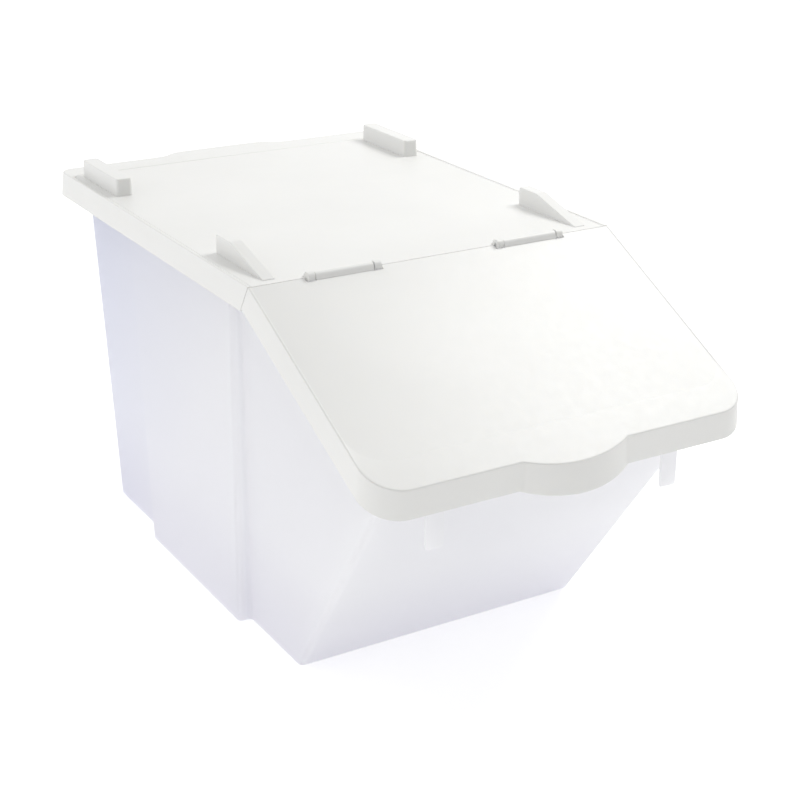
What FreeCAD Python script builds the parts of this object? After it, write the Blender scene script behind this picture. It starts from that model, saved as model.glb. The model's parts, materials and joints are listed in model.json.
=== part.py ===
import FreeCAD, Part
import math
import os

import Sketcher

V = FreeCAD.Vector
X_AXIS = V(1, 0, 0)

# Driving dimensions in millimetres.  The ridge is the line where the flat rear lid and the
# sloping front flap meet; "run" is measured forward from it and "length" backward.
DIMENSIONS = {
    "lid_half_width": 165.0,
    "lid_height": 327.0,
    "ridge_offset": 105.05,
    "plate": 2.4,
    "skirt_wall": 2.2,
    "part_gap": 0.4,
    # rear lid
    "lid_length": 399.0,
    "lid_skirt": 22.1,
    "lid_flare": 1.8,
    "lid_corner": 12.0,
    "grip_root": 60.0,
    "grip_tip": 45.0,
    "grip_reach": 10.7,
    "grip_round": 24.0,
    "rib_set": 9.0,
    "rib_half": 138.0,
    "rib_depth": 12.0,
    # stacking lugs on the rear lid
    "lug_height": 15.0,
    "block_inner": 138.8,
    "block_outer": 153.5,
    "block_front": 284.5,
    "block_rear": 367.5,
    "block_round": 3.0,
    "wedge_inner": 137.9,
    "wedge_width": 10.4,
    "wedge_toe": 9.3,
    "wedge_crest": 65.5,
    "wedge_heel": 91.0,
    # front flap
    "flap_run": 188.7,
    "flap_drop": 94.0,
    "flap_skirt": 22.1,
    "flap_skirt_tilt": 0.3,
    "flap_flare": 9.8,
    "flap_corner": 29.0,
    "lip_half": 46.0,
    "lip_foot_half": 48.0,
    "lip_reach": 11.0,
    "lip_foot_reach": 14.8,
    # hinge
    "hinge_lift": 0.2,
    "barrel_radius": 3.2,
    "pin_radius": 1.5,
    "pin_clearance": 0.05,
    "ear_radius": 3.8,
    "ear_inner": 53.2,
    "ear_width": 6.0,
    "ear_gap": 1.5,
    "barrel_length": 48.4,
    "ear_tail": 6.0,
    "hinge_relief": 5.0,
    "pin_cover": 1.2,
    # tub
    "tub_wall": 3.0,
    "tub_floor": 3.0,
    "tub_top": 324.2,
    "base_half": 133.4,
    "base_front": 9.5,
    "base_rear": 375.0,
    "base_corner": 5.0,
    "base_edge": 2.0,
    "top_half": 145.3,
    "top_front": 234.9,
    "top_rear": 383.0,
    "top_corner": 7.0,
    "panel_base_half": 145.1,
    "panel_top_half": 153.0,
    "panel_base_front": 80.7,
    "panel_top_front": 57.5,
    "panel_rear": 266.0,
    "panel_corner": 4.0,
    # tub rim
    "rim_half": 162.0,
    "rim_rear": 396.0,
    "rim_thick": 2.6,
    "rim_lip": 2.0,
    "rim_depth": 20.2,
    "rim_rear_corner": 9.5,
    "rim_front": 206.4,
    "rim_front_corner": 24.0,
    # stop tabs under the front rim
    "tab_centre": 105.0,
    "tab_width": 15.0,
    "tab_thick": 2.6,
    "tab_front": 167.3,
    "tab_bottom": 170.5,
    "tab_top": 227.9,
    # how far cuts run past the solid they trim, and a short overlap
    "overcut": 20.0,
    "relief_clear": 10.0,
    "relief_deep": 8.0,
    "margin": 1.0,
}
# Quantities worked out from the sheet wherever they are needed.
SLOPE = "atan(dims.flap_drop / dims.flap_run)"
FLAP_LENGTH = "sqrt(dims.flap_run ^ 2 + dims.flap_drop ^ 2)"
RIM_GAP = "(dims.lid_height - dims.tub_top)"
RIM_MITRE = "%s * tan(%s / 2)" % (RIM_GAP, SLOPE)
FRONT_LEAN = "sqrt(1 + ((dims.top_front - dims.base_front) / dims.tub_top) ^ 2)"
# The hinge ears' nose radius and crest place, as shares of the ear radius.
EAR_NOSE = 0.95
EAR_CREST = 0.5
SIDES = {"left": -1, "right": 1}

doc = FreeCAD.newDocument("storage_bin")


def make_sheet():
    """Write every driving dimension to its own named cell."""
    sheet = doc.addObject("Spreadsheet::Sheet", "dims")
    for row, (alias, value) in enumerate(DIMENSIONS.items(), start=1):
        sheet.set("A%d" % row, alias.replace("_", " "))
        sheet.set("B%d" % row, str(value))
        sheet.setAlias("B%d" % row, alias)
    doc.recompute()
    return sheet


def number(sheet, expression):
    """The present value of a sheet expression, without its unit."""
    result = sheet.evalExpression(expression)
    return float(getattr(result, "Value", result))


def make_body(label):
    body = doc.addObject("PartDesign::Body", label)
    body.Label = label
    return body


def origin_plane(body, role):
    return next(item for item in body.Origin.OriginFeatures if item.Role == role)


def new_sketch(body, name, role="XY_Plane", height="0", turn=None, side="0"):
    """A sketch on one of the body's own origin planes, offset along the plane's normal."""
    sketch = body.newObject("Sketcher::SketchObject", name)
    sketch.AttachmentSupport = (origin_plane(body, role), [""])
    sketch.MapMode = "FlatFace"
    offset = height if role == "XY_Plane" else side
    sketch.setExpression("AttachmentOffset.Base.z", offset)
    if turn is not None:
        sketch.AttachmentOffset = FreeCAD.Placement(V(), FreeCAD.Rotation(X_AXIS, 1.0))
        sketch.setExpression("AttachmentOffset.Rotation.Angle", turn)
    return sketch


def bind(sketch, constraint, expression):
    """Add a driving constraint and tie its value to the sheet."""
    index = sketch.addConstraint(constraint)
    sketch.setExpression("Constraints[%d]" % index, expression)
    return index


def pin_point(sketch, geo, end, x_text, y_text, here):
    """Hold one sketch vertex at sheet-driven coordinates."""
    bind(sketch, Sketcher.Constraint("DistanceX", -1, 1, geo, end, here.x), x_text)
    bind(sketch, Sketcher.Constraint("DistanceY", -1, 1, geo, end, here.y), y_text)


def arc_between(start, end, radius):
    """The short arc from start to end, bulging to the right of the direction of travel."""
    chord = end - start
    rise = math.sqrt(radius ** 2 - (chord.Length / 2) ** 2)
    normal = V(chord.y, -chord.x, 0).normalize()
    centre = (start + end) * 0.5 - normal * rise
    angles = [math.atan2(p.y - centre.y, p.x - centre.x) for p in (start, end)]
    return Part.ArcOfCircle(Part.Circle(centre, V(0, 0, 1), radius), *angles)


def outline(sheet, sketch, corners, arcs=None):
    """A closed outline through (x, y, corner radius) expressions, run anticlockwise.

    arcs maps the index of a side to the radius expression of an arc that bulges outward
    there; both ends of such a side are sharp corners.
    """
    arcs = arcs or {}
    count = len(corners)
    points = [V(number(sheet, c[0]), number(sheet, c[1]), 0) for c in corners]
    radii = [number(sheet, c[2]) for c in corners]
    leave, arrive, fillets = [], [], {}
    for i, point in enumerate(points):
        before = (points[i - 1] - point).normalize()
        after = (points[(i + 1) % count] - point).normalize()
        if radii[i] == 0:
            leave.append(point)
            arrive.append(point)
            continue
        half_angle = before.getAngle(after) / 2
        reach = radii[i] / math.tan(half_angle)
        centre = point + (before + after).normalize() * (radii[i] / math.sin(half_angle))
        arrive.append(point + before * reach)
        leave.append(point + after * reach)
        fillets[i] = centre
    sides = []
    for i in range(count):
        start, end = leave[i], arrive[(i + 1) % count]
        if i in arcs:
            sides.append(sketch.addGeometry(arc_between(start, end, number(sheet, arcs[i]))))
        else:
            sides.append(sketch.addGeometry(Part.LineSegment(start, end)))
    for i in range(count):
        x_text, y_text = corners[i][0], corners[i][1]
        if i not in fillets:
            sketch.addConstraint(Sketcher.Constraint("Coincident", sides[i - 1], 2, sides[i], 1))
            pin_point(sketch, sides[i], 1, x_text, y_text, points[i])
            continue
        convex = (points[i] - points[i - 1]).cross(points[(i + 1) % count] - points[i]).z > 0
        ends = [arrive[i], leave[i]] if convex else [leave[i], arrive[i]]
        angles = [math.atan2(p.y - fillets[i].y, p.x - fillets[i].x) for p in ends]
        circle = Part.Circle(fillets[i], V(0, 0, 1), radii[i])
        arc = sketch.addGeometry(Part.ArcOfCircle(circle, *angles))
        mark = sketch.addGeometry(Part.Point(points[i]), True)
        first, last = (1, 2) if convex else (2, 1)
        sketch.addConstraint(Sketcher.Constraint("Tangent", sides[i - 1], 2, arc, first))
        sketch.addConstraint(Sketcher.Constraint("Tangent", sides[i], 1, arc, last))
        sketch.addConstraint(Sketcher.Constraint("PointOnObject", mark, 1, sides[i - 1]))
        sketch.addConstraint(Sketcher.Constraint("PointOnObject", mark, 1, sides[i]))
        bind(sketch, Sketcher.Constraint("Radius", arc, radii[i]), corners[i][2])
        pin_point(sketch, mark, 1, x_text, y_text, points[i])
    return sketch


def circle_sketch(sheet, sketch, x_text, y_text, radius_text):
    centre = V(number(sheet, x_text), number(sheet, y_text), 0)
    radius = number(sheet, radius_text)
    geo = sketch.addGeometry(Part.Circle(centre, V(0, 0, 1), radius))
    bind(sketch, Sketcher.Constraint("Radius", geo, radius), radius_text)
    pin_point(sketch, geo, 3, x_text, y_text, centre)
    return sketch


def extrude(body, kind, sketch, length_text, reverse=False):
    """A Pad or Pocket of one sketch by a sheet-driven length."""
    feature = body.newObject("PartDesign::" + kind, sketch.Name + "_" + kind.lower())
    feature.Profile = sketch
    feature.setExpression("Length", length_text)
    feature.Reversed = reverse
    body.Tip = feature
    doc.recompute()
    return feature


def through_all(body, sketch):
    """A pocket that runs right through, both ways from the sketch."""
    feature = body.newObject("PartDesign::Pocket", sketch.Name + "_pocket")
    feature.Profile = sketch
    feature.Type = 1
    feature.Midplane = True
    body.Tip = feature
    doc.recompute()
    return feature


def loft(body, kind, first, *others):
    """A straight-sided loft through sketches with matching outlines."""
    feature = body.newObject("PartDesign::" + kind, first.Name + "_loft")
    feature.Profile = first
    feature.Sections = [(other, [""]) for other in others]
    feature.Ruled = True
    body.Tip = feature
    doc.recompute()
    return feature


def box(half_text, front_text, rear_text, front_round="0", rear_round="0"):
    """Corners of an outline that is symmetric in x, from the front left, anticlockwise."""
    return [
        ("-(%s)" % half_text, front_text, front_round),
        (half_text, front_text, front_round),
        (half_text, rear_text, rear_round),
        ("-(%s)" % half_text, rear_text, rear_round),
    ]


# --- tub -----------------------------------------------------------------------------------

def drafted(name, rise, prefix=""):
    """A wall size at a height, between its value at the base and its value at the top."""
    base = "dims.%sbase_%s" % (prefix, name)
    top = "dims.%stop_%s" % (prefix, name)
    return "(%s + (%s - %s) * (%s) / dims.tub_top)" % (base, top, base, rise)


def wall_level(outer, inset, rise):
    """Expressions for the tub's outline, inset all round, at a height above its base."""
    half = "%s - (%s)" % (drafted("half", rise), inset)
    front = "-%s + %s * (%s)" % (drafted("front", rise), FRONT_LEAN, inset)
    rear = "%s - (%s)" % (drafted("rear", rise), inset)
    corner = "%s - %s" % (drafted("corner", rise), outer)
    return box(half, front, rear, corner, corner)


def panel_level(outer, inset, rise):
    """The same for the wider middle stretch of the side walls."""
    half = "%s - (%s)" % (drafted("half", rise, "panel_"), inset)
    front = "%s + (%s)" % (drafted("front", rise, "panel_"), inset)
    rear = "dims.panel_rear - (%s)" % inset
    return box(half, front, rear, "dims.panel_corner", "dims.panel_corner")


def add_shell(sheet, body, kind, name, level, wall):
    """A drafted block with a bevelled foot, added for the outside or cut for the inside."""
    solid = wall == "0"
    floor = "0" if solid else "dims.tub_floor"
    steps = [
        (floor, "%s + dims.base_edge" % wall),
        ("%s + dims.base_edge" % floor, wall),
        ("dims.tub_top" if solid else "dims.tub_top + dims.margin", wall),
    ]
    sketches = []
    for step, (height, inset) in enumerate(steps):
        sketch = new_sketch(body, "%s_%d" % (name, step), height=height)
        sketches.append(outline(sheet, sketch, level(wall, inset, height)))
    loft(body, kind, *sketches)


def rim_outline(sheet, sketch, inset, level):
    """The rim in plan: level "rear" is the flat stretch, "front" the sloping one."""
    half = "dims.rim_half - %s" % inset
    corner = "dims.rim_%s_corner - %s" % (level, inset)
    if level == "rear":
        front = "%s + %s" % (RIM_MITRE, inset)
        return outline(sheet, sketch, box(half, front, "dims.rim_rear - %s" % inset, "0", corner))
    front = "-dims.rim_front + %s" % inset
    rear = "-(%s) - %s" % (RIM_MITRE, inset)
    return outline(sheet, sketch, box(half, front, rear, corner, "0"))


def rim_sketch(body, name, level):
    """A sketch on the top face of the flat or of the sloping stretch of the rim."""
    if level == "rear":
        return new_sketch(body, name, height="dims.tub_top")
    sketch = new_sketch(body, name, turn=SLOPE)
    sketch.setExpression("AttachmentOffset.Base.y", "%s * sin(%s)" % (RIM_GAP, SLOPE))
    sketch.setExpression(
        "AttachmentOffset.Base.z", "dims.lid_height - %s * cos(%s)" % (RIM_GAP, SLOPE))
    return sketch


def add_rim(sheet, body, level):
    """A flange with a lip turned down round its edge."""
    flange = rim_outline(sheet, rim_sketch(body, level + "_flange", level), "0", level)
    extrude(body, "Pad", flange, "dims.rim_thick", reverse=True)
    lip = rim_outline(sheet, rim_sketch(body, level + "_lip", level), "0", level)
    rim_outline(sheet, lip, "dims.rim_lip", level)
    extrude(body, "Pad", lip, "dims.rim_depth", reverse=True)


def build_tub(sheet):
    """The one-piece moulded tub: drafted walls, wider middle, turned rim and two stop tabs."""
    body = make_body("bin_body")
    add_shell(sheet, body, "AdditiveLoft", "wall", wall_level, "0")
    add_shell(sheet, body, "AdditiveLoft", "panel", panel_level, "0")
    trim_front(sheet, body)
    add_rim(sheet, body, "rear")
    add_rim(sheet, body, "front")
    add_shell(sheet, body, "SubtractiveLoft", "inside", wall_level, "dims.tub_wall")
    add_shell(sheet, body, "SubtractiveLoft", "panel_inside", panel_level, "dims.tub_wall")
    add_tabs(sheet, body)
    body.setExpression("Placement.Base.y", "-dims.ridge_offset")
    return body


def trim_front(sheet, body):
    """Cut the walls off along the slope of the front rim."""
    sketch = new_sketch(body, "front_trim", role="YZ_Plane")
    above = "dims.tub_top + dims.overcut"
    ahead = "dims.top_front + dims.overcut"
    corners = [
        (RIM_MITRE, "dims.tub_top", "0"),
        (RIM_MITRE, above, "0"),
        ("-(%s)" % ahead, above, "0"),
        ("-(%s)" % ahead, "dims.tub_top - (%s + %s) * tan(%s)" % (ahead, RIM_MITRE, SLOPE), "0"),
    ]
    outline(sheet, sketch, corners)
    through_all(body, sketch)


def add_tabs(sheet, body):
    """Two upright stop tabs that stand clear of the sloping front wall."""
    for name, sign in SIDES.items():
        sketch = new_sketch(body, "tab_" + name, height="dims.tab_bottom")
        centre = "%d * dims.tab_centre" % sign
        corners = [
            (centre + " - dims.tab_width / 2", "-dims.tab_front", "0"),
            (centre + " + dims.tab_width / 2", "-dims.tab_front", "0"),
            (centre + " + dims.tab_width / 2", "-dims.tab_front + dims.tab_thick", "0"),
            (centre + " - dims.tab_width / 2", "-dims.tab_front + dims.tab_thick", "0"),
        ]
        outline(sheet, sketch, corners)
        extrude(body, "Pad", sketch, "dims.tab_top - dims.tab_bottom")


# --- rear lid ------------------------------------------------------------------------------

def lid_section(sheet, body, name, depth, inset):
    """The rear lid in plan at one depth: rounded rear corners and a blended rear grip."""
    half = "dims.lid_half_width - (%s)" % inset
    rear = "dims.lid_length - (%s)" % inset
    tip = "dims.lid_length + dims.grip_reach - (%s)" % inset
    turn_in = "dims.grip_round + %s" % inset
    turn_out = "dims.grip_round - (%s)" % inset
    round_off = "dims.lid_corner - (%s)" % inset
    corners = [
        ("-(%s)" % half, "-dims.margin", "0"),
        (half, "-dims.margin", "0"),
        (half, rear, round_off),
        ("dims.grip_root", rear, turn_in),
        ("dims.grip_tip", tip, turn_out),
        ("-dims.grip_tip", tip, turn_out),
        ("-dims.grip_root", rear, turn_in),
        ("-(%s)" % half, rear, round_off),
    ]
    return outline(sheet, new_sketch(body, name, height="-(%s)" % depth), corners)


def add_blocks(sheet, body):
    """The rear pair of stacking lugs."""
    for name, sign in SIDES.items():
        sketch = new_sketch(body, "block_" + name, height="-dims.plate / 2")
        first, last = ("inner", "outer") if sign > 0 else ("outer", "inner")
        corners = [
            ("%d * dims.block_%s" % (sign, first), "dims.block_front", "dims.block_round"),
            ("%d * dims.block_%s" % (sign, last), "dims.block_front", "dims.block_round"),
            ("%d * dims.block_%s" % (sign, last), "dims.block_rear", "dims.block_round"),
            ("%d * dims.block_%s" % (sign, first), "dims.block_rear", "dims.block_round"),
        ]
        outline(sheet, sketch, corners)
        extrude(body, "Pad", sketch, "dims.lug_height + dims.plate / 2")


def side_offset(sign, near, width):
    """The lower x of a stretch of the given width on one side of the centre plane."""
    return near if sign > 0 else "-(%s) - (%s)" % (near, width)


def add_wedges(sheet, body):
    """The front pair of stacking lugs: a ramp up from the front, an upright heel behind."""
    for name, sign in SIDES.items():
        start = side_offset(sign, "dims.wedge_inner", "dims.wedge_width")
        sketch = new_sketch(body, "wedge_" + name, role="YZ_Plane", side=start)
        sink = "-dims.plate / 2"
        corners = [
            ("dims.wedge_toe", sink, "0"),
            ("dims.wedge_heel", sink, "0"),
            ("dims.wedge_heel", "dims.lug_height", "0"),
            ("dims.wedge_crest", "dims.lug_height", "0"),
            ("dims.wedge_toe", "0", "0"),
        ]
        outline(sheet, sketch, corners)
        extrude(body, "Pad", sketch, "dims.wedge_width")


def cut_mitre(sheet, body):
    """Trim the lid's front along the plane square to the closed flap."""
    sketch = new_sketch(body, "mitre", role="YZ_Plane")
    start = "dims.part_gap / cos(%s)" % SLOPE
    deep = "dims.lid_skirt + dims.overcut"
    corners = [
        ("%s + (%s) * tan(%s)" % (start, deep, SLOPE), "-(%s)" % deep, "0"),
        ("%s - dims.overcut * tan(%s)" % (start, SLOPE), "dims.overcut", "0"),
        ("-dims.overcut", "dims.overcut", "0"),
        ("-dims.overcut", "-(%s)" % deep, "0"),
    ]
    outline(sheet, sketch, corners)
    through_all(body, sketch)


def add_rib(sheet, body):
    """A stiffening rib across the underside, just behind the hinges."""
    sketch = new_sketch(body, "rib", height="-dims.plate / 2")
    corners = box("dims.rib_half", "dims.rib_set", "dims.rib_set + dims.skirt_wall")
    outline(sheet, sketch, corners)
    extrude(body, "Pad", sketch, "dims.rib_depth", reverse=True)


def relieve_hinges(sheet, body):
    """Open the lid's front edge round each flap barrel."""
    for name, sign in SIDES.items():
        near = "dims.ear_inner + dims.ear_width"
        width = "dims.barrel_length + 2 * dims.ear_gap"
        start = side_offset(sign, near, width)
        sketch = new_sketch(body, "relief_" + name, height="dims.relief_clear")
        corners = [
            (start, "-dims.relief_clear", "0"),
            ("%s + %s" % (start, width), "-dims.relief_clear", "0"),
            ("%s + %s" % (start, width), "dims.hinge_relief", "0"),
            (start, "dims.hinge_relief", "0"),
        ]
        outline(sheet, sketch, corners)
        extrude(body, "Pocket", sketch, "dims.relief_clear + dims.relief_deep")


def ear_starts(sign):
    """Lower x of the two ears of one hinge: the inner ear, then the outer one."""
    outer = "dims.ear_inner + dims.ear_width + dims.barrel_length + 2 * dims.ear_gap"
    return [side_offset(sign, near, "dims.ear_width") for near in ("dims.ear_inner", outer)]


def add_ears(sheet, body):
    """Four ears that hold the two hinge pins."""
    radius = "dims.ear_radius"
    nose = "%g * %s" % (EAR_NOSE, radius)
    crest = "%g * %s" % (EAR_CREST, radius)
    low = "dims.hinge_lift - %s" % radius
    high = "dims.hinge_lift + %s" % radius
    for name, sign in SIDES.items():
        for place, start in zip(("inner", "outer"), ear_starts(sign)):
            sketch = new_sketch(body, "ear_%s_%s" % (place, name), role="YZ_Plane", side=start)
            corners = [
                ("-%s" % radius, low, nose),
                ("dims.ear_tail", low, "0"),
                ("dims.ear_tail", "0", "0"),
                (crest, high, crest),
                ("-%s" % radius, high, nose),
            ]
            outline(sheet, sketch, corners)
            extrude(body, "Pad", sketch, "dims.ear_width")


def bore_ears(sheet, body):
    """Pin holes: right through each inner ear, blind in each outer ear."""
    span = "dims.barrel_length + 2 * dims.ear_gap + 2 * dims.ear_width - dims.pin_cover"
    for name, sign in SIDES.items():
        start = side_offset(sign, "dims.ear_inner", span)
        sketch = new_sketch(body, "pin_bore_" + name, role="YZ_Plane", side=start)
        circle_sketch(sheet, sketch, "0", "dims.hinge_lift", "dims.pin_radius")
        extrude(body, "Pocket", sketch, span, reverse=True)


def build_rear_lid(sheet):
    """The fixed half of the lid, with lugs above, skirts below and hinge ears in front."""
    body = make_body("rear_lid")
    wall = "dims.skirt_wall"
    draft = "dims.lid_flare / dims.lid_skirt"
    foot = "dims.lid_skirt + dims.margin"
    loft(body, "AdditiveLoft",
         lid_section(sheet, body, "face", "0", "0"),
         lid_section(sheet, body, "foot", "dims.lid_skirt", "-dims.lid_flare"))
    loft(body, "SubtractiveLoft",
         lid_section(sheet, body, "inside_face", "dims.plate",
                     "%s - dims.plate * %s" % (wall, draft)),
         lid_section(sheet, body, "inside_foot", foot, "%s - (%s) * %s" % (wall, foot, draft)))
    add_rib(sheet, body)
    cut_mitre(sheet, body)
    relieve_hinges(sheet, body)
    add_ears(sheet, body)
    bore_ears(sheet, body)
    add_blocks(sheet, body)
    add_wedges(sheet, body)
    body.setExpression("Placement.Base.y", "-dims.ridge_offset")
    body.setExpression("Placement.Base.z", "dims.lid_height")
    return body


# --- front flap ----------------------------------------------------------------------------

def flap_section(sheet, body, name, depth, inset, share, lip, rear, tilt="0"):
    """The flap's outline at one depth below its top face, with the round finger lip.

    share is how much of the skirt's outward flare has been reached at that depth, and lip
    names the finger lip's pair of sizes there.
    """
    half = "dims.lid_half_width - %s + (%s) * dims.lid_flare" % (inset, share)
    front = "-(%s) + %s - (%s) * dims.flap_flare" % (FLAP_LENGTH, inset, share)
    corner = "dims.flap_corner - %s" % inset
    lip_half, lip_reach = "dims.%s_half" % lip, "dims.%s_reach" % lip
    arc_radius = "(%s ^ 2 + %s ^ 2) / (2 * %s)" % (lip_half, lip_reach, lip_reach)
    sketch = new_sketch(body, name, height="-(%s)" % depth, turn=tilt)
    corners = [
        ("-(%s)" % half, front, corner),
        ("-(%s)" % lip_half, front, "0"),
        (lip_half, front, "0"),
        (half, front, corner),
        (half, rear, "0"),
        ("-(%s)" % half, rear, "0"),
    ]
    return outline(sheet, sketch, corners, {1: arc_radius})


def relieve_ears(sheet, body):
    """Notch the flap's rear edge round each of the rear lid's ears."""
    for name, sign in SIDES.items():
        for place, start in zip(("inner", "outer"), ear_starts(sign)):
            sketch = new_sketch(body, "notch_%s_%s" % (place, name), height="dims.relief_clear")
            left = "%s - dims.ear_gap" % start
            right = "%s + dims.ear_width + dims.ear_gap" % start
            corners = [
                (left, "-dims.hinge_relief", "0"),
                (right, "-dims.hinge_relief", "0"),
                (right, "dims.relief_clear", "0"),
                (left, "dims.relief_clear", "0"),
            ]
            outline(sheet, sketch, corners)
            extrude(body, "Pocket", sketch, "dims.relief_clear + dims.relief_deep")


def add_barrels(sheet, body):
    """The two hinge barrels along the flap's rear edge, bored for the pins."""
    axis_y = "dims.hinge_lift * sin(%s)" % SLOPE
    axis_z = "dims.hinge_lift * cos(%s)" % SLOPE
    near = "dims.ear_inner + dims.ear_width + dims.ear_gap"
    for name, sign in SIDES.items():
        start = side_offset(sign, near, "dims.barrel_length")
        sketch = new_sketch(body, "barrel_" + name, role="YZ_Plane", side=start)
        circle_sketch(sheet, sketch, axis_y, axis_z, "dims.barrel_radius")
        extrude(body, "Pad", sketch, "dims.barrel_length")
        bore = new_sketch(body, "barrel_bore_" + name, role="YZ_Plane", side=start)
        circle_sketch(sheet, bore, axis_y, axis_z, "dims.pin_radius + dims.pin_clearance")
        extrude(body, "Pocket", bore, "dims.barrel_length", reverse=True)


def build_front_flap(sheet):
    """The hinged half of the lid: plate, skirts on three sides, finger lip and barrels."""
    body = make_body("front_flap")
    rear = "-dims.part_gap"
    foot = "dims.flap_skirt"
    tilt = "-dims.flap_skirt_tilt * 1deg"
    loft(body, "AdditiveLoft",
         flap_section(sheet, body, "face", "0", "0", "0", "lip", rear),
         flap_section(sheet, body, "foot", foot, "0", "1", "lip_foot", rear, tilt))
    wall = "dims.skirt_wall"
    share = "dims.plate / dims.flap_skirt"
    loft(body, "SubtractiveLoft",
         flap_section(sheet, body, "inside_face", "dims.plate", wall, share,
                      "lip", "dims.margin"),
         flap_section(sheet, body, "inside_foot", foot + " + dims.margin", wall, "1",
                      "lip_foot", "dims.margin", tilt))
    relieve_ears(sheet, body)
    add_barrels(sheet, body)
    body.Placement = FreeCAD.Placement(V(), FreeCAD.Rotation(X_AXIS, 1.0))
    body.setExpression("Placement.Base.y", "-dims.ridge_offset")
    body.setExpression("Placement.Base.z", "dims.lid_height")
    body.setExpression("Placement.Rotation.Angle", SLOPE)
    return body


# --- hinge pins ----------------------------------------------------------------------------

def build_pin(name, sign):
    """A plain round pin through one hinge, flush with the inner ear."""
    span = "dims.barrel_length + 2 * dims.ear_gap + 2 * dims.ear_width - dims.pin_cover"
    pin = doc.addObject("Part::Cylinder", "hinge_pin_" + name)
    pin.Label = "hinge_pin_" + name
    pin.setExpression("Radius", "dims.pin_radius")
    pin.setExpression("Height", span)
    pin.Placement = FreeCAD.Placement(V(), FreeCAD.Rotation(V(0, 1, 0), 90))
    pin.setExpression("Placement.Base.x", side_offset(sign, "dims.ear_inner", span))
    pin.setExpression("Placement.Base.y", "-dims.ridge_offset")
    pin.setExpression("Placement.Base.z", "dims.lid_height + dims.hinge_lift")
    return pin


def check_document():
    """Stop if any object failed to recompute."""
    for item in doc.Objects:
        if "Invalid" in item.State or "Error" in item.State:
            raise RuntimeError("%s failed: %s" % (item.Name, item.State))


def export(parts):
    """Write one STEP file per sub-part, named by its label."""
    for part in parts:
        if part.Shape.isNull() or not part.Shape.isValid():
            raise RuntimeError(part.Label + " has no valid shape")
    os.makedirs("parts", exist_ok=True)
    for part in parts:
        part.Shape.exportStep(os.path.join("parts", part.Label + ".step"))
        extent = part.Shape.optimalBoundingBox()
        print("%-16s %d solid(s) %9.0f mm3  y %.2f..%.2f  z %.2f..%.2f" % (
            part.Label, len(part.Shape.Solids), part.Shape.Volume,
            extent.YMin, extent.YMax, extent.ZMin, extent.ZMax))


def main():
    sheet = make_sheet()
    parts = [build_tub(sheet), build_rear_lid(sheet), build_front_flap(sheet)]
    parts += [build_pin(name, sign) for name, sign in SIDES.items()]
    doc.recompute()
    check_document()
    export(parts)


main()
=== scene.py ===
import json
import math

import bmesh
import bpy
from mathutils import Matrix, Vector


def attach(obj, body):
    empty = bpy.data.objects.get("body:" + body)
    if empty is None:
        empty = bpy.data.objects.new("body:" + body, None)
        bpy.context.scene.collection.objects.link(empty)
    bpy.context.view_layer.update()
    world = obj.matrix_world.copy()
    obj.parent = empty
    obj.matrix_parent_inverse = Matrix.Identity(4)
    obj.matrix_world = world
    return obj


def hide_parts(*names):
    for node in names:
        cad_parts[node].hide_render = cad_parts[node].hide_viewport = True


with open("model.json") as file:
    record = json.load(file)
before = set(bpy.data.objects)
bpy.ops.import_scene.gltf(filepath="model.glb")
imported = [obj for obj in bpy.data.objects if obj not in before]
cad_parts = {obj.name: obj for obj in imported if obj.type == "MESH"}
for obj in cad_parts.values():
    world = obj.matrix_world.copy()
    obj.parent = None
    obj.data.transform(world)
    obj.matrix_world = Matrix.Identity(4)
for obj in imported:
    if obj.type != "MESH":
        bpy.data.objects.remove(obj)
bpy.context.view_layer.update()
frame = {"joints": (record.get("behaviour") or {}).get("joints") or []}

# Shapes are worked out in millimetres and scaled once, when a mesh is made.
MM = 0.001
HINGE = next(joint for joint in frame["joints"] if joint["name"] == "flap_hinge")
HINGE_LIFT = 0.2
RIDGE = HINGE["pos_m"][1] / MM
LID_TOP = HINGE["pos_m"][2] / MM - HINGE_LIFT

# Both halves of the lid; the flap's run and drop are measured from the ridge between them
FLAP_RUN, FLAP_DROP = 188.7, 94.0
SLOPE = math.atan2(FLAP_DROP, FLAP_RUN)
FLAP_LENGTH = math.hypot(FLAP_RUN, FLAP_DROP)
LID_HALF = 165.0
PLATE = 2.4
SKIRT_WALL = 2.2
SKIRT_DEPTH = 22.1
SIDE_FLARE = 1.8
PART_GAP = 0.4
EDGE_ROUND, EDGE_STEPS = 0.9, 4

# Rear lid
LID_LENGTH = 399.0
LID_CORNER = 12.0
# A ring at this inset or more lies inside the skirt, which flares, and keeps the plain width
UNFLARED_INSET = 3.0
GRIP_ROOT, GRIP_TIP, GRIP_REACH, GRIP_ROUND = 60.0, 45.0, 10.7, 24.0
PANEL_DROP = 0.5
GROOVE_DEPTH = 0.9
REAR_BORDER = 27.0
RIB_SET, RIB_HALF, RIB_FOOT = 9.0, 138.0, 13.2

# Front flap
FLAP_FLARE = 9.8
FLAP_CORNER = 29.0
BEAD_HEIGHT = 0.4
LIP_STEPS = 28
LIP_HALF, LIP_FOOT_HALF = 46.0, 48.0
LIP_REACH, LIP_FOOT_REACH = 11.0, 14.8
FOOT_TILT = math.tan(math.radians(0.3))

# Stacking lugs
LUG_HEIGHT = 15.0
BLOCK_ROUND, BLOCK_DRAFT = 3.0, 0.3
CREST_ROUND = 14.0
BLOCK_INNER, BLOCK_OUTER, BLOCK_FRONT, BLOCK_REAR = 138.8, 153.5, 284.5, 367.5
WEDGE_INNER, WEDGE_WIDTH = 137.9, 10.4
WEDGE_TOE, WEDGE_CREST, WEDGE_HEEL = 9.3, 65.5, 91.0

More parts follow.
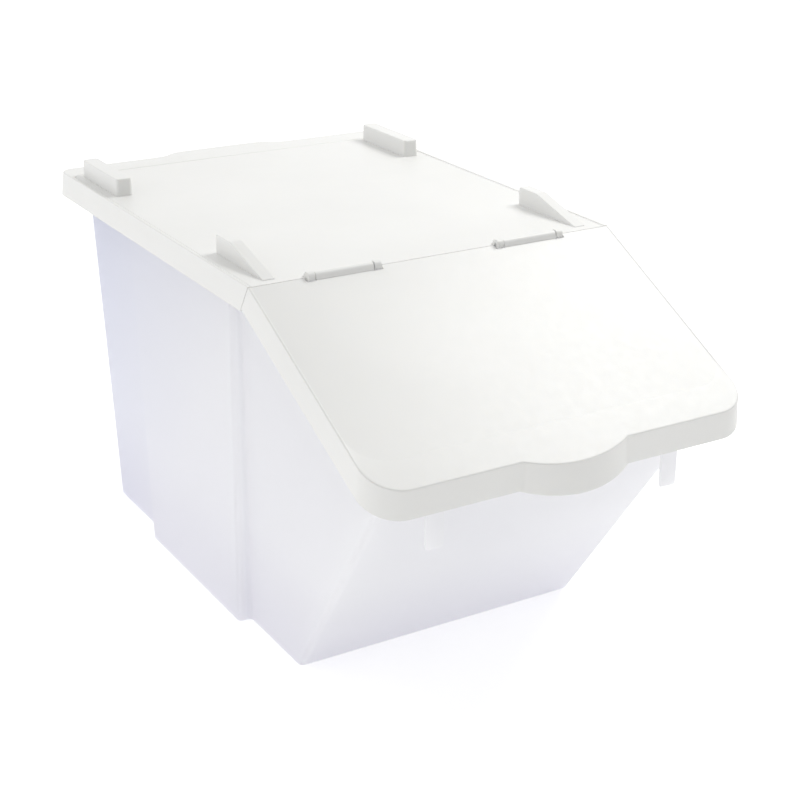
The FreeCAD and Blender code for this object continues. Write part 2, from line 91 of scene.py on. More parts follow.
# Hinge; the fairing is where the barrel's foot runs out on the flap
BARREL_RADIUS, BARREL_LENGTH, EAR_RADIUS = 3.2, 48.4, 3.8
EAR_NOSE, EAR_CREST = 0.95 * EAR_RADIUS, 0.5 * EAR_RADIUS
PIN_RADIUS, PIN_CLEARANCE, PIN_COVER = 1.5, 0.05, 1.2
FAIRING, BARREL_STRETCH = 4.4, 1.0
EAR_INNER, EAR_WIDTH, EAR_GAP, EAR_TAIL = 53.2, 6.0, 1.5, 6.0
RELIEF = 5.0
BARREL_START = EAR_INNER + EAR_WIDTH + EAR_GAP
BARREL_END = BARREL_START + BARREL_LENGTH
OUTER_EAR = BARREL_END + EAR_GAP

# Tub: sizes at the base and at the level of the flat rim
TUB_TOP = 324.2
WALL, MOUTH_ROUND = 3.0, 1.2
BASE_HALF, TOP_HALF = 133.4, 145.3
BASE_FRONT, TOP_FRONT = -9.5, -234.9
BASE_REAR, TOP_REAR = 375.0, 383.0
BASE_CORNER, TOP_CORNER = 5.0, 7.0
PANEL_BASE_HALF, PANEL_TOP_HALF = 145.1, 153.0
PANEL_BASE_FRONT, PANEL_TOP_FRONT, PANEL_REAR = 80.7, 57.5, 266.0
PANEL_CORNER, PANEL_HOLLOW = 4.0, 4.0
FOOT_ROUND, FOOT_STEPS = 2.5, 6
BASE_HOLLOW = 1.2
FRONT_SECANT = math.hypot(TOP_FRONT - BASE_FRONT, TUB_TOP) / TUB_TOP
RIM_DEPTH = LID_TOP - TUB_TOP
RIM_HALF, RIM_REAR, RIM_FRONT = 162.0, 396.0, 206.4
RIM_REAR_CORNER, RIM_FRONT_CORNER = 9.5, 24.0
RIM_THICK, RIM_LIP, RIM_HEIGHT = 2.6, 2.0, 20.2
LEAST_GAP, GAP_STEP, CROTCH_CLEAR = 0.8, 0.25, 6
TAB_CENTRE, TAB_WIDTH, TAB_THICK, TAB_FRONT, TAB_BOTTOM = 105.0, 15.0, 2.6, -167.3, 170.5
TAB_ROUND, TAB_SINK = 2.5, 0.8

# Corners of the tub's outline, as rounded_path counts them
FRONT_LEFT, FRONT_RIGHT, REAR_RIGHT, REAR_LEFT = 0, 1, 7, 8

# How finely the tub's outline is divided
ARC = 8
STEP_ARC = 4
FRONT_SPLIT, SIDE_SPLIT, PANEL_SPLIT, REAR_SPLIT, BEHIND_SPLIT = 10, 14, 10, 10, 5
SIDE_AHEAD = round(SIDE_SPLIT * 0.75)
WALL_SHARES = (0.08, 0.25, 0.45, 0.65, 0.85, 0.96)

SIDES = {"left": -1, "right": 1}

# Plastics: the band that most noise values fall in, the textures' scales per metre, and the
# bumps' heights in metres, with the strength of the slow waves
NOISE_LOW, NOISE_HIGH = 0.3, 0.7
CLOUD_SCALE, GLOSS_SCALE, WAVE_SCALE, GRAIN_SCALE = 7.0, 160.0, 5.0, 2200.0
WAVE_HEIGHT, WAVE_STRENGTH, GRAIN_HEIGHT = 0.0006, 0.06, 0.0001

# The share of the frosted wall's look that comes from light passing through it
GLOW_SHARE = 0.76

# The frosted wall turns bluer and dimmer along this course, over this span in metres, as
# painted shade of the closed lid with a painted bluish reflection, and it is dimmer again
# near the floor, up to this height in metres, as painted shade.
LID_SHADE_COURSE, LID_SHADE_SPAN = (0.0, 0.8, 0.6), (0.13, 0.36)
FOOT_SHADE_RISE = 0.10

# Stage, in metres
FLOOR_HALF, FLOOR_LEVEL, TABLE_GLOW = 6.0, -0.0003, 0.36
SKY_DIM, SKY_BRIGHT, SKY_BRIGHT_SIDE = 0.37, 1.42, (-0.49, 0.74, -0.46)
SOFTBOX_PLACE, SOFTBOX_POWER = (0.95, 0.0, 1.45), 12.5

# Camera: angles in degrees, distances in metres from the middle of the ridge
CAMERA_AZIMUTH, CAMERA_ELEVATION, CAMERA_ROLL = -30.76, 22.12, 0.29
CAMERA_DISTANCE, CAMERA_SIDE, CAMERA_RISE = 1.30397, -0.03018, -0.11385
CAMERA_LENS, SENSOR = 75.10, 36.0


# --- outlines ------------------------------------------------------------------------------

def lerp(a, b, share):
    return a + (b - a) * share


def rounded_path(corners, closed=False):
    """Points along a path of (x, y, radius, arc steps, steps to the next corner) corners.

    Returns (x, y, progress) rows; progress counts the corners passed, with fractions on an arc.
    """
    count = len(corners)
    arcs = []
    for i, (x, y, radius, steps, _) in enumerate(corners):
        here = Vector((x, y))
        if steps == 0:
            arcs.append([(x, y, float(i))])
            continue
        before = (Vector(corners[i - 1][:2]) - here).normalized()
        after = (Vector(corners[(i + 1) % count][:2]) - here).normalized()
        half = before.angle(after) / 2
        reach = radius / math.tan(half)
        centre = here + (before + after).normalized() * (radius / math.sin(half))
        first, last = here + before * reach - centre, here + after * reach - centre
        turn = math.atan2(first.x * last.y - first.y * last.x, first.dot(last))
        points = []
        for k in range(steps + 1):
            spoke = Matrix.Rotation(turn * k / steps, 2) @ first
            points.append((centre.x + spoke.x, centre.y + spoke.y, i + k / steps))
        arcs.append(points)
    path = []
    for i, points in enumerate(arcs):
        path += points
        if i == count - 1 and not closed:
            break
        end, start = points[-1], arcs[(i + 1) % count][0]
        for k in range(1, corners[i][4]):
            share = k / corners[i][4]
            path.append((lerp(end[0], start[0], share), lerp(end[1], start[1], share), i + 1.0))
    return path


def between(passed, first, last):
    """0 before a path's first named corner, 1 between the two, and 0 again after the last."""
    return min(max(passed - first, 0.0), 1.0) * min(max(last + 1 - passed, 0.0), 1.0)


def flat_point(x, run, depth):
    """A place on the flat rear lid: run behind the ridge, depth below its top face."""
    return (x, RIDGE + run, LID_TOP - depth)


def slope_point(x, run, depth):
    """A place on the sloping flap: run down the slope from the ridge, depth square to it."""
    return (x, RIDGE - run * math.cos(SLOPE) + depth * math.sin(SLOPE),
            LID_TOP - run * math.sin(SLOPE) - depth * math.cos(SLOPE))


# --- meshes --------------------------------------------------------------------------------

def make_piece(name, verts, faces, material, body, slot, bevel=0.0, segments=2, smooth=35.0):
    """A mesh object from millimetre vertices, with softened edges, riding on a CAD body."""
    mesh = bpy.data.meshes.new(name)
    mesh.from_pydata([Vector(v) * MM for v in verts], [], faces)
    bm = bmesh.new()
    bm.from_mesh(mesh)
    bmesh.ops.recalc_face_normals(bm, faces=bm.faces)
    for face in bm.faces:
        face.smooth = True
    for edge in bm.edges:
        edge.smooth = edge.calc_face_angle(math.pi) < math.radians(smooth)
    bm.to_mesh(mesh)
    bm.free()
    piece = bpy.data.objects.new(name, mesh)
    bpy.context.scene.collection.objects.link(piece)
    if bevel:
        soften = piece.modifiers.new("soften", "BEVEL")
        soften.width = bevel * MM
        soften.segments = segments
        soften.limit_method = "ANGLE"
        soften.angle_limit = math.radians(smooth)
    even = piece.modifiers.new("even", "WEIGHTED_NORMAL")
    even.keep_sharp = True
    even.weight = 80
    depsgraph = bpy.context.evaluated_depsgraph_get()
    piece.data = bpy.data.meshes.new_from_object(piece.evaluated_get(depsgraph))
    piece.data.name = name
    piece.modifiers.clear()
    piece.data.materials.clear()
    piece.data.materials.append(material)
    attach(piece, body)
    return piece


def skin(rings):
    """Vertices and faces of a closed solid through closed rings, capped at both ends."""
    count = len(rings[0])
    verts = [point for ring in rings for point in ring]
    faces = []
    for level in range(len(rings) - 1):
        low, high = level * count, (level + 1) * count
        for i in range(count):
            j = (i + 1) % count
            faces.append((low + i, low + j, high + j, high + i))
    faces.append(tuple(range(count)))
    faces.append(tuple(range(len(verts) - count, len(verts))))
    return verts, faces


def tray(rings, top_line, bottom_line):
    """A plate with a turned edge on three sides, from open rings and its free front edge.

    Ring 0 borders the top face and the last ring the underside.  The lines are the plate's
    free edge from the rings' last points back to their first, on the two faces.
    """
    count, levels = len(rings[0]), len(rings)
    verts = [point for ring in rings for point in ring]
    top_start = len(verts)
    verts += top_line
    bottom_start = len(verts)
    verts += bottom_line
    faces = []
    for level in range(levels - 1):
        low, high = level * count, (level + 1) * count
        for i in range(count - 1):
            faces.append((low + i, low + i + 1, high + i + 1, high + i))
    under = (levels - 1) * count
    top_ids = list(range(top_start, bottom_start))
    bottom_ids = list(range(bottom_start, len(verts)))
    faces.append(tuple(list(range(count)) + top_ids))
    faces.append(tuple(list(range(under, under + count)) + bottom_ids))
    upper = [count - 1] + top_ids + [0]
    lower = [under + count - 1] + bottom_ids + [under]
    for i in range(len(upper) - 1):
        faces.append((upper[i], upper[i + 1], lower[i + 1], lower[i]))
    faces.append(tuple(level * count for level in range(levels)))
    faces.append(tuple(level * count + count - 1 for level in range(levels)))
    return verts, faces


def lathe(outline, centre, first, steps):
    """A closed outline of (x, radius) points for each angle, turned round an axis along x."""
    rings = []
    for k in range(steps):
        angle = first + 2 * math.pi * k / steps
        rings.append([(x, centre[0] + r * math.cos(angle), centre[1] + r * math.sin(angle))
                      for x, r in outline(angle)])
    count = len(rings[0])
    verts = [point for ring in rings for point in ring]
    faces = []
    for k in range(steps):
        low, high = k * count, (k + 1) % steps * count
        for i in range(count):
            j = (i + 1) % count
            faces.append((low + i, low + j, high + j, high + i))
    return verts, faces


# --- materials -----------------------------------------------------------------------------

def add_node(tree, kind, **values):
    """A shader node with its sockets set by name."""
    node = tree.nodes.new(kind)
    for name, value in values.items():
        node.inputs[name.replace("_", " ")].default_value = value
    return node


def noise(tree, coords, scale, detail):
    node = add_node(tree, "ShaderNodeTexNoise", Scale=scale, Detail=detail)
    tree.links.new(coords, node.inputs["Vector"])
    return node.outputs["Fac"]


def spread(tree, value, low, high):
    """Map a noise value onto a range."""
    node = add_node(tree, "ShaderNodeMapRange", From_Min=NOISE_LOW, From_Max=NOISE_HIGH,
                    To_Min=low, To_Max=high)
    tree.links.new(value, node.inputs["Value"])
    return node.outputs["Result"]


def tint(tree, value, dark, light):
    """A colour between two, by a noise value."""
    ramp = tree.nodes.new("ShaderNodeValToRGB")
    ramp.color_ramp.elements[0].position = NOISE_LOW
    ramp.color_ramp.elements[0].color = (*dark, 1)
    ramp.color_ramp.elements[1].position = NOISE_HIGH
    ramp.color_ramp.elements[1].color = (*light, 1)
    tree.links.new(value, ramp.inputs["Fac"])
    return ramp.outputs["Color"]


def bump(tree, height, distance, strength, below=None):
    node = add_node(tree, "ShaderNodeBump", Distance=distance, Strength=strength)
    tree.links.new(height, node.inputs["Height"])
    if below is not None:
        tree.links.new(below, node.inputs["Normal"])
    return node.outputs["Normal"]


def moulded(name, dark, light, rough, grain):
    """Moulded plastic: clouded colour, uneven gloss, slow waves and a fine eroded grain."""
    material = bpy.data.materials.new(name)
    material.use_nodes = True
    tree = material.node_tree
    shader = tree.nodes["Principled BSDF"]
    coords = tree.nodes.new("ShaderNodeTexCoord").outputs["Object"]
    cloud = noise(tree, coords, CLOUD_SCALE, 3.0)
    tree.links.new(tint(tree, cloud, dark, light), shader.inputs["Base Color"])
    gloss = noise(tree, coords, GLOSS_SCALE, 3.0)
    tree.links.new(spread(tree, gloss, *rough), shader.inputs["Roughness"])
    wave = bump(tree, noise(tree, coords, WAVE_SCALE, 0.0), WAVE_HEIGHT, WAVE_STRENGTH)
    fine = bump(tree, noise(tree, coords, GRAIN_SCALE, 2.0), GRAIN_HEIGHT, grain, below=wave)
    tree.links.new(fine, shader.inputs["Normal"])
    shader.inputs["IOR"].default_value = 1.49
    return material, tree, shader


def along(tree, course, low, high):
    """How far a place on the piece lies along a course: 0 at low and 1 at high, in metres."""
    dot = tree.nodes.new("ShaderNodeVectorMath")
    dot.operation = "DOT_PRODUCT"
    dot.inputs[1].default_value = course
    tree.links.new(tree.nodes.new("ShaderNodeTexCoord").outputs["Object"], dot.inputs[0])
    node = add_node(tree, "ShaderNodeMapRange", From_Min=low, From_Max=high,
                    To_Min=0.0, To_Max=1.0)
    tree.links.new(dot.outputs["Value"], node.inputs["Value"])
    return node.outputs["Result"]


def blend(tree, share, first, last):
    """A straight mix of two colours."""
    ramp = tree.nodes.new("ShaderNodeValToRGB")
    ramp.color_ramp.elements[0].color = (*first, 1)
    ramp.color_ramp.elements[1].color = (*last, 1)
    tree.links.new(share, ramp.inputs["Fac"])
    return ramp.outputs["Color"]


def multiplied(tree, first, second):
    """The product of two colours."""
    node = tree.nodes.new("ShaderNodeVectorMath")
    node.operation = "MULTIPLY"
    tree.links.new(first, node.inputs[0])
    tree.links.new(second, node.inputs[1])
    return node.outputs["Vector"]


def lid_plastic():
    material, _, shader = moulded("satin_white", (0.77, 0.77, 0.755), (0.80, 0.80, 0.785),
                                  (0.38, 0.43), 0.12)
    shader.inputs["Subsurface Weight"].default_value = 0.15
    shader.inputs["Subsurface Radius"].default_value = (1.0, 0.95, 0.85)
    shader.inputs["Subsurface Scale"].default_value = 0.002
    return material


def pin_plastic():
    return moulded("gloss_acetal", (0.80, 0.80, 0.77), (0.84, 0.84, 0.81), (0.18, 0.26), 0.04)[0]


def tub_plastic():
    """Frosted polypropylene: a pale bluish skin that passes part of the light behind it."""
    material, tree, shader = moulded("frosted_clear", (0.955, 0.955, 0.965), (0.985, 0.985, 0.985),
                                     (0.34, 0.46), 0.16)
    glow = add_node(tree, "ShaderNodeBsdfTranslucent")
    mix = add_node(tree, "ShaderNodeMixShader", Fac=GLOW_SHARE)
    # Painted shade: the wall turns darker and bluer towards the top and rear, for the closed lid's
    # shade and a bluish reflection
    share = along(tree, LID_SHADE_COURSE, *LID_SHADE_SPAN)
    skin_colour = shader.inputs["Base Color"].links[0].from_socket
    # Painted shade: the wall is darker near the floor
    rise = along(tree, (0.0, 0.0, 1.0), 0.0, FOOT_SHADE_RISE)
    foot = blend(tree, rise, (0.957, 0.954, 0.97), (1.0, 1.0, 1.0))
    skin_painted_shade = multiplied(tree, blend(tree, share, (1.0, 1.0, 1.0), (0.87, 0.885, 0.94)), foot)
    glow_painted_shade = blend(tree, share, (0.980, 0.980, 0.988), (0.925, 0.93, 0.965))
    tree.links.new(multiplied(tree, skin_colour, skin_painted_shade), shader.inputs["Base Color"])
    tree.links.new(multiplied(tree, glow_painted_shade, foot), glow.inputs["Color"])
    tree.links.new(shader.inputs["Normal"].links[0].from_socket, glow.inputs["Normal"])
    tree.links.new(shader.outputs["BSDF"], mix.inputs[1])
    tree.links.new(glow.outputs["BSDF"], mix.inputs[2])
    tree.links.new(mix.outputs["Shader"], tree.nodes["Material Output"].inputs["Surface"])
    return material


def floor_paint():
    """Plain white sweep with a glow of its own, as a lit shooting table has."""
    material, _, shader = moulded("pale_floor", (0.93, 0.93, 0.93), (0.94, 0.94, 0.94),
                                  (0.7, 0.8), 0.02)
    shader.inputs["Emission Color"].default_value = (1.0, 1.0, 1.0, 1)
    shader.inputs["Emission Strength"].default_value = TABLE_GLOW
    return material


# --- tub -----------------------------------------------------------------------------------

def tub_plan(rise, inset, fold):
    """The wall's outline at a height: rounded ends and a wider stretch in the middle.

    fold is the share of the plain stretch of each side that lies in front of the ridge.
    """
    share = rise / TUB_TOP
    half = lerp(BASE_HALF, TOP_HALF, share) - inset
    front = lerp(BASE_FRONT, TOP_FRONT, share) + inset * FRONT_SECANT
    rear = lerp(BASE_REAR, TOP_REAR, share) - inset
    corner = max(lerp(BASE_CORNER, TOP_CORNER, share) - inset, 1.5)
    wide = lerp(PANEL_BASE_HALF, PANEL_TOP_HALF, share) - inset
    panel_front = lerp(PANEL_BASE_FRONT, PANEL_TOP_FRONT, share) + inset
    panel_rear = PANEL_REAR - inset
    bulge = max(PANEL_CORNER - inset / 2, 1.5)
    split = lerp(front + corner, panel_front - PANEL_HOLLOW, fold)
    ahead, behind = SIDE_AHEAD, SIDE_SPLIT - SIDE_AHEAD
    corners = [
        (-half, front, corner, ARC, FRONT_SPLIT),
        (half, front, corner, ARC, ahead),
        (half, split, 0, 0, behind),
        (half, panel_front, PANEL_HOLLOW, STEP_ARC, 1),
        (wide, panel_front, bulge, STEP_ARC, PANEL_SPLIT),
        (wide, panel_rear, bulge, STEP_ARC, 1),
        (half, panel_rear, PANEL_HOLLOW, STEP_ARC, BEHIND_SPLIT),
        (half, rear, corner, ARC, REAR_SPLIT),
        (-half, rear, corner, ARC, BEHIND_SPLIT),
        (-half, panel_rear, PANEL_HOLLOW, STEP_ARC, 1),
        (-wide, panel_rear, bulge, STEP_ARC, PANEL_SPLIT),
        (-wide, panel_front, bulge, STEP_ARC, 1),
        (-half, panel_front, PANEL_HOLLOW, STEP_ARC, behind),
        (-half, split, 0, 0, ahead),
    ]
    return rounded_path(corners, closed=True)


class Columns:
    """The straight drafted lines that the tub's wall is made of, at one inset."""

    def __init__(self, inset):
        front = TOP_FRONT + inset * FRONT_SECANT + TOP_CORNER - inset
        panel = PANEL_TOP_FRONT + inset - PANEL_HOLLOW
        fold = (RIM_DEPTH * math.tan(SLOPE / 2) - front) / (panel - front)
        self.low = tub_plan(0.0, inset, fold)
        self.high = tub_plan(TUB_TOP, inset, fold)

    def __len__(self):
        return len(self.low)

    def at(self, i, rise):
        """The column's (x, run behind the ridge, height) at a height."""
        share = rise / TUB_TOP
        return (lerp(self.low[i][0], self.high[i][0], share),
                lerp(self.low[i][1], self.high[i][1], share), rise)

    def reach(self, i, depth):
        """The height at which the column meets the surface depth below the closed lid."""
        level = LID_TOP - depth
        start, lean = self.low[i][1], (self.high[i][1] - self.low[i][1]) / TUB_TOP
        fall = math.tan(SLOPE)
        slanted = (LID_TOP - depth / math.cos(SLOPE) + start * fall) / (1 - lean * fall)
        return min(level, slanted)

    def lid_place(self, i, depth):
        """The same meeting point as (x, signed run along the lid)."""
        x, run, rise = self.at(i, self.reach(i, depth))
        if run >= depth * math.tan(SLOPE / 2):
            return x, run
        return x, run * math.cos(SLOPE) + (rise - LID_TOP) * math.sin(SLOPE)


def under_lid(x, run, depth):
    """A place depth below the closed lid, with both lid halves' offsets joined at the ridge."""
    shift = depth * math.tan(SLOPE / 2)
    if run >= 0:
        return flat_point(x, run + shift * (1 - run / RIM_REAR), depth)
    return slope_point(x, -run + shift * (1 + run / RIM_FRONT), depth)


def rim_path(columns, inset):
    """The rim's (x, run) for every wall column, by the same corners as the wall's outline."""
    half = RIM_HALF - inset
    rear_corner, front_corner = RIM_REAR_CORNER - inset, RIM_FRONT_CORNER - inset
    count = len(columns)
    places = [columns.lid_place(i, RIM_DEPTH + RIM_THICK) for i in range(count)]
    nearest = places[2 * ARC + FRONT_SPLIT][1]
    furthest = max(run for _, run in places)
    side_start, side_end = -RIM_FRONT + inset + front_corner, RIM_REAR - inset - rear_corner
    path = []
    for i, (x, run) in enumerate(places):
        passed = columns.high[i][2]
        side = 1 if x > 0 else -1
        if passed < FRONT_RIGHT + 1:
            path.append(front_place(passed, x, half, inset, front_corner))
        elif REAR_RIGHT <= passed <= REAR_LEFT + 1:
            path.append(rear_place(passed, x, half, inset, rear_corner))
        elif run < 0:
            path.append((side * half, lerp(0.0, side_start, run / nearest)))
        else:
            path.append((side * half, lerp(0.0, side_end, run / (furthest - TOP_CORNER))))
    return path


def front_place(passed, x, half, inset, corner):
    """A place on the rim's front side or front corners."""
    front = -RIM_FRONT + inset
    if passed < FRONT_RIGHT:
        angle = math.pi + (passed - FRONT_LEFT) * math.pi / 2
        return (-half + corner + corner * math.cos(angle),
                front + corner + corner * math.sin(angle))
    if passed == FRONT_RIGHT:
        flat = (half - corner) / (TOP_HALF - TOP_CORNER)
        return (max(-half + corner, min(half - corner, x * flat)), front)
    angle = -math.pi / 2 + (passed - FRONT_RIGHT) * math.pi / 2
    return (half - corner + corner * math.cos(angle), front + corner + corner * math.sin(angle))


def rear_place(passed, x, half, inset, corner):
    """A place on the rim's rear side or rear corners."""
    rear = RIM_REAR - inset
    if passed < REAR_LEFT:
        angle = (passed - REAR_RIGHT) * math.pi / 2
        return (half - corner + corner * math.cos(angle), rear - corner + corner * math.sin(angle))
    if passed == REAR_LEFT:
        flat = (half - corner) / (TOP_HALF - TOP_CORNER)
        return (max(-half + corner, min(half - corner, x * flat)), rear)
    angle = math.pi / 2 + (passed - REAR_LEFT) * math.pi / 2
    return (-half + corner + corner * math.cos(angle), rear - corner + corner * math.sin(angle))


def crotch_depth(columns, i, lip_place):
    """How far below the lid the gap between wall and turned lip closes, at one column."""
    depth = RIM_DEPTH + RIM_THICK
    while depth < RIM_DEPTH + RIM_HEIGHT - CROTCH_CLEAR:
        x, run = columns.lid_place(i, depth)
        if math.hypot(lip_place[0] - x, lip_place[1] - run) > LEAST_GAP:
            break
        depth += GAP_STEP
    return depth


def build_tub(material):
    """The one-piece tub: foot, drafted walls, turned rim, inside walls and floor."""
    outer, inner = Columns(0.0), Columns(WALL)
    count = len(outer)
    rings = []

    def add_level(rise, inset):
        plan = Columns(inset)
        places = [plan.at(i, rise) for i in range(count)]
        rings.append([(x, RIDGE + run, z) for x, run, z in places])

    hollow = BASE_HOLLOW
    for rise, inset in ((hollow, 26.0), (hollow, 22.0), (0.75 * hollow, 20.6), (0.0, 19.4)):
        add_level(rise, inset)
    for k in range(FOOT_STEPS + 1):
        angle = math.pi / 2 * k / FOOT_STEPS
        add_level(FOOT_ROUND * (1 - math.cos(angle)), FOOT_ROUND * (1 - math.sin(angle)))
    lip_inner = rim_path(outer, RIM_LIP)
    crotch = [crotch_depth(outer, i, place) for i, place in enumerate(lip_inner)]
    for share in WALL_SHARES + (1.0,):
        ring = []
        for i in range(count):
            top = outer.reach(i, crotch[i])
            x, run, z = outer.at(i, lerp(FOOT_ROUND, top, share))
            ring.append((x, RIDGE + run, z))
        rings.append(ring)

    def add_rim(inset, depth):
        rings.append([under_lid(x, run, depth) for x, run in rim_path(outer, inset)])

    rings.append([under_lid(x, run, crotch[i]) for i, (x, run) in enumerate(lip_inner)])
    foot = RIM_DEPTH + RIM_HEIGHT
    for inset, depth in (
            (RIM_LIP, foot - 0.5), (RIM_LIP - 0.5, foot), (0.5, foot), (0.0, foot - 0.5),
            (0.0, RIM_DEPTH + 1.5), (0.2, RIM_DEPTH + 0.75), (0.75, RIM_DEPTH + 0.2),
            (1.5, RIM_DEPTH)):
        add_rim(inset, depth)
    for inset, depth in (
            (WALL - MOUTH_ROUND, RIM_DEPTH), (WALL - 0.35, RIM_DEPTH + 0.35),
            (WALL, RIM_DEPTH + MOUTH_ROUND)):
        edge = Columns(inset)
        ring = []
        for i in range(count):
            x, run, z = edge.at(i, edge.reach(i, depth))
            ring.append((x, RIDGE + run, z))
        rings.append(ring)
    for share in reversed(WALL_SHARES):
        ring = []
        for i in range(count):
            top = inner.reach(i, RIM_DEPTH + MOUTH_ROUND)
            x, run, z = inner.at(i, lerp(WALL + FOOT_ROUND, top, share))
            ring.append((x, RIDGE + run, z))
        rings.append(ring)
    for k in range(FOOT_STEPS + 1):
        angle = math.pi / 2 * k / FOOT_STEPS
        add_level(WALL + FOOT_ROUND * (1 - math.sin(angle)),
                  WALL + FOOT_ROUND * (1 - math.cos(angle)))
    tub = make_piece("tub_shell", *skin(rings), material, "tub", "tub", smooth=32.0)
    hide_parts("bin_body")
    return tub


def build_tabs(material):
    """Two upright stop tabs that stand out below the sloping front wall."""
    lean = (TOP_FRONT - BASE_FRONT) / TUB_TOP
    for name, side in SIDES.items():
        centre = side * TAB_CENTRE
        rings = []
        for run in (TAB_FRONT, TAB_FRONT + TAB_THICK):
            top = (run - BASE_FRONT) / lean + TAB_SINK
            path = rounded_path([
                (centre - TAB_WIDTH / 2, TAB_BOTTOM, TAB_ROUND, 5, 1),
                (centre + TAB_WIDTH / 2, TAB_BOTTOM, TAB_ROUND, 5, 1),
                (centre + TAB_WIDTH / 2, top, 0, 0, 1),
                (centre - TAB_WIDTH / 2, top, 0, 0, 1),
            ], closed=True)
            rings.append([(x, RIDGE + run, z) for x, z, _ in path])
        make_piece("tub_tab_" + name, *skin(rings), material, "tub", "tub", bevel=0.45)


# --- rear lid ------------------------------------------------------------------------------

def skirt_profile():
    """(inset, depth) pairs round a plate's edge, down its skirt, round the foot and back up."""
    profile = []
    for k in range(EDGE_STEPS + 1):
        angle = math.pi / 2 * k / EDGE_STEPS
        profile.append((EDGE_ROUND * (1 - math.sin(angle)), EDGE_ROUND * (1 - math.cos(angle))))
    return profile + [
        (0.0, 8.0), (0.0, 16.0), (0.0, SKIRT_DEPTH - 0.6), (0.6, SKIRT_DEPTH),
        (SKIRT_WALL - 0.5, SKIRT_DEPTH), (SKIRT_WALL, SKIRT_DEPTH - 0.5), (SKIRT_WALL, 14.0),
        (SKIRT_WALL, PLATE + 1.5), (SKIRT_WALL + 0.45, PLATE + 0.45), (SKIRT_WALL + 1.5, PLATE),
    ]


def lid_ring(side_inset, side_depth, rear_inset, rear_depth, grip=1.0):
    """One ring round the rear lid from the left end of the ridge to the right end."""
    flare = SIDE_FLARE * side_depth / SKIRT_DEPTH if side_inset < UNFLARED_INSET else 0.0
    half = LID_HALF - side_inset + flare
    rear = LID_LENGTH - rear_inset + flare
    tip = rear + GRIP_REACH * grip
    corner = max(LID_CORNER - min(side_inset, 8.0), 3.0)
    start = PART_GAP / math.cos(SLOPE) + side_depth * math.tan(SLOPE)
    corners = [
        (-half, start, 0, 0, 10),
        (-half, rear, corner, ARC, 6),
        (-GRIP_ROOT, rear, GRIP_ROUND, 6, 1),
        (-GRIP_TIP, tip, GRIP_ROUND, 6, 8),
        (GRIP_TIP, tip, GRIP_ROUND, 6, 1),
        (GRIP_ROOT, rear, GRIP_ROUND, 6, 6),
        (half, rear, corner, ARC, 10),
        (half, start, 0, 0, 1),
    ]
    if not grip:
        corners = flat_grip(corners, rear)
    ring = []
    for x, run, passed in rounded_path(corners):
        ring.append(flat_point(x, run, lerp(side_depth, rear_depth, between(passed, 1, 6))))
    return ring


def flat_grip(corners, rear):
    """The same corners with the grip's four drawn straight along the rear edge."""
    straight = []
    for x, y, radius, steps, split in corners:
        if radius == GRIP_ROUND:
            y = rear
        straight.append((x, y, radius, steps, split))
    return straight


def lid_front(depth):
    """The free front edge of the lid's plate from right to left, notched round the barrels."""
    start = PART_GAP / math.cos(SLOPE) + depth * math.tan(SLOPE)
    near, far = EAR_INNER + EAR_WIDTH, BARREL_END + EAR_GAP
    line = []
    for side in (1, -1):
        first, last = (far, near) if side > 0 else (near, far)
        line += [(side * first, start, 0, 0, 1), (side * first, RELIEF, 1.2, 4, 1),
                 (side * last, RELIEF, 1.2, 4, 1), (side * last, start, 0, 0, 1)]
    right = (LID_HALF, start, 0, 0, 1)
    left = (-LID_HALF, start, 0, 0, 1)
    path = rounded_path([right] + line + [left])[1:-1]
    return [flat_point(x, run, depth) for x, run, _ in path]


def build_lid(material):
    """The flat rear half of the lid: bordered panel, turned skirts and the rear grip."""
    rings = [
        lid_ring(4.4, PANEL_DROP, REAR_BORDER + 1.2, PANEL_DROP, 0.0),
        lid_ring(3.8, PANEL_DROP, REAR_BORDER + 0.6, PANEL_DROP, 0.0),
        lid_ring(3.5, GROOVE_DEPTH, REAR_BORDER + 0.4, PANEL_DROP, 0.0),
        lid_ring(3.0, GROOVE_DEPTH, REAR_BORDER, 0.15, 0.0),
        lid_ring(2.7, 0.1, REAR_BORDER - 0.4, 0.0, 0.0),
        lid_ring(2.0, 0.0, 6.0, 0.0, 1.0),
    ]
    for inset, depth in skirt_profile():
        rings.append(lid_ring(inset, depth, inset, depth))
    rings.append(lid_ring(6.0, PLATE, 9.0, PLATE))
    shell = tray(rings, lid_front(PANEL_DROP), lid_front(PLATE))
    lid = make_piece("rear_lid_shell", *shell, material, "lid", "lid", smooth=32.0)
    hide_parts("rear_lid")
    return lid


def build_blocks(material):
    """The rear pair of stacking lugs, drafted and round at the corners."""
    for name, side in SIDES.items():
        rings = []
        for height, inset in ((-PLATE / 2, 0.0), (LUG_HEIGHT / 2, BLOCK_DRAFT / 2),
                              (LUG_HEIGHT, BLOCK_DRAFT)):
            inner, outer = BLOCK_INNER + inset, BLOCK_OUTER - inset
            low, high = (inner, outer) if side > 0 else (-outer, -inner)
            path = rounded_path([
                (low, BLOCK_FRONT + inset, BLOCK_ROUND, 6, 1),
                (high, BLOCK_FRONT + inset, BLOCK_ROUND, 6, 1),
                (high, BLOCK_REAR - inset, BLOCK_ROUND, 6, 1),
                (low, BLOCK_REAR - inset, BLOCK_ROUND, 6, 1),
            ], closed=True)
            rings.append([flat_point(x, run, -height) for x, run, _ in path])
        make_piece("stack_block_" + name, *skin(rings), material, "lid", "lid",
                   bevel=0.9, segments=3)


